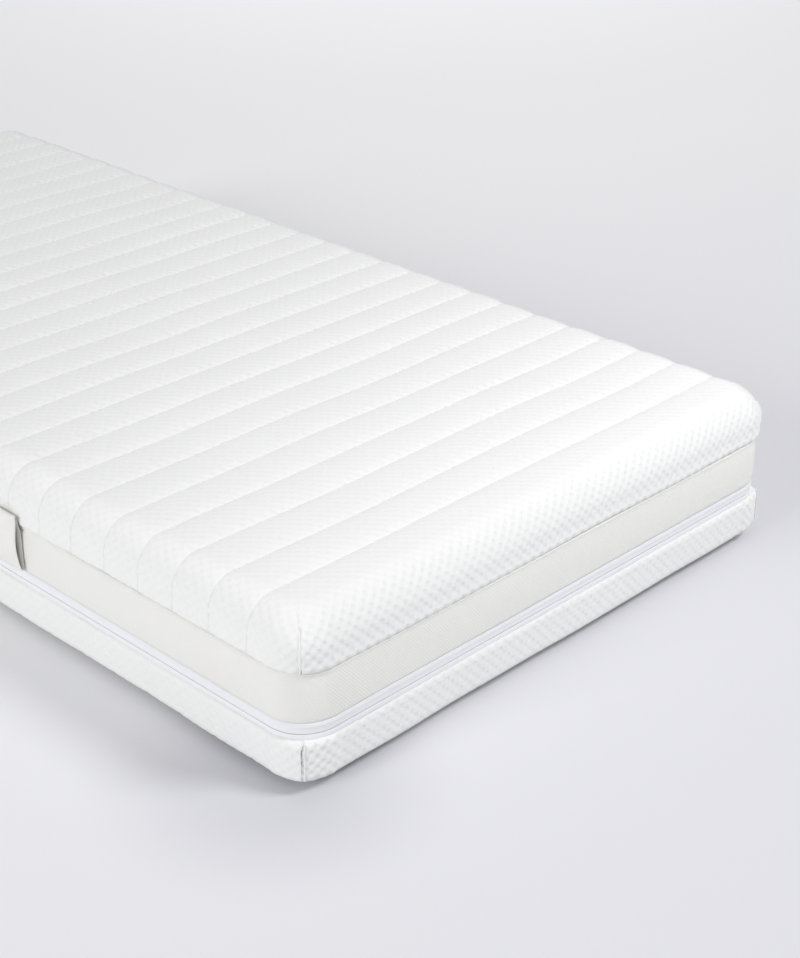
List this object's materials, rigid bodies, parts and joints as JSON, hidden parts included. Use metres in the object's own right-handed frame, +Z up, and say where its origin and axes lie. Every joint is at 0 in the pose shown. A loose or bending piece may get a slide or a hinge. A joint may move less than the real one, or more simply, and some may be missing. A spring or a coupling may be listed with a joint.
{
  "type": "pressure relief mattress",
  "caption": "Flat rectangular hospital mattress: quilted stretch cover with a mesh border band, an all-round zip and fabric side handles over a zoned foam core.",
  "frame": {"origin": "middle of the underside, on the surface that the mattress lies on", "axes": "+X across the bed, +Y along it from the foot end to the head end, +Z up"},
  "size_m": [1.0266, 2, 0.24],
  "materials": {
    "quilted_knit": "quilted stretch knit with a small waffle dimple, soft and matt",
    "fibre_wadding": "lofty polyester fibre",
    "lining_cloth": "thin plain-woven lining",
    "spacer_fabric": "ivory three-dimensional spacer mesh with a fine rib",
    "zip_tape": "close-woven zip tape",
    "zip_coil": "nylon coil",
    "zip_metal": "white enamelled zinc",
    "sock_knit": "plain tubular knit",
    "comfort_foam": "viscoelastic foam, open cell",
    "zone_foam": "cut castellated foam, open cell",
    "bolster_foam": "firm foam, open cell",
    "base_foam": "firm foam, open cell"
  },
  "bodies": {
    "root": {"top_panel": "quilted_knit", "top_wadding": "fibre_wadding", "top_lining": "lining_cloth", "upper_seam_binding": "lining_cloth", "border_band": "spacer_fabric", "upper_zip_tape": "zip_tape", "lower_zip_tape": "zip_tape", "upper_zip_coil": "zip_coil", "lower_zip_coil": "zip_coil", "zip_end_stops": "zip_metal", "zip_end_tab": "spacer_fabric", "bottom_panel": "quilted_knit", "bottom_wadding": "fibre_wadding", "bottom_lining": "lining_cloth", "lower_seam_binding": "lining_cloth", "handle_reinforcements": "lining_cloth", "handle_back_left_foot": "spacer_fabric", "handle_back_left_head": "spacer_fabric", "handle_back_right_foot": "spacer_fabric", "handle_back_right_head": "spacer_fabric", "core_sock": "sock_knit", "comfort_layer": "comfort_foam", "head_zone": "zone_foam", "torso_zone": "zone_foam", "pelvis_zone": "zone_foam", "thigh_zone": "zone_foam", "heel_zone": "zone_foam", "side_bolster_left": "bolster_foam", "side_bolster_right": "bolster_foam", "core_base": "base_foam"},
    "zip_slider": {"zip_slider": "zip_metal", "zip_pull_bail": "zip_metal"},
    "zip_pull": {"zip_pull": "zip_metal"},
    "handle_loop_left_foot": {"handle_loop_left_foot": "spacer_fabric"},
    "handle_loop_left_head": {"handle_loop_left_head": "spacer_fabric"},
    "handle_loop_right_foot": {"handle_loop_right_foot": "spacer_fabric"},
    "handle_loop_right_head": {"handle_loop_right_head": "spacer_fabric"}
  },
  "joints": [
    {"name": "zip_slider_travel", "type": "slide", "parent": "root", "child": "zip_slider", "axis": [-1, 0, 0], "range_m": [0, 0.75]},
    {"name": "zip_pull_swing", "type": "hinge", "parent": "zip_slider", "child": "zip_pull", "pos_m": [0.36, 0.9977, 0.072], "axis": [0, 0, -1], "range_deg": [0, 175]},
    {"name": "handle_left_foot_pull", "type": "slide", "parent": "root", "child": "handle_loop_left_foot", "axis": [-1, 0, 0], "range_m": [0, 0.008], "stiffness_N_per_m": 60},
    {"name": "handle_left_head_pull", "type": "slide", "parent": "root", "child": "handle_loop_left_head", "axis": [-1, 0, 0], "range_m": [0, 0.008], "stiffness_N_per_m": 60},
    {"name": "handle_right_foot_pull", "type": "slide", "parent": "root", "child": "handle_loop_right_foot", "axis": [1, 0, 0], "range_m": [0, 0.008], "stiffness_N_per_m": 60},
    {"name": "handle_right_head_pull", "type": "slide", "parent": "root", "child": "handle_loop_right_head", "axis": [1, 0, 0], "range_m": [0, 0.008], "stiffness_N_per_m": 60}
  ]
}
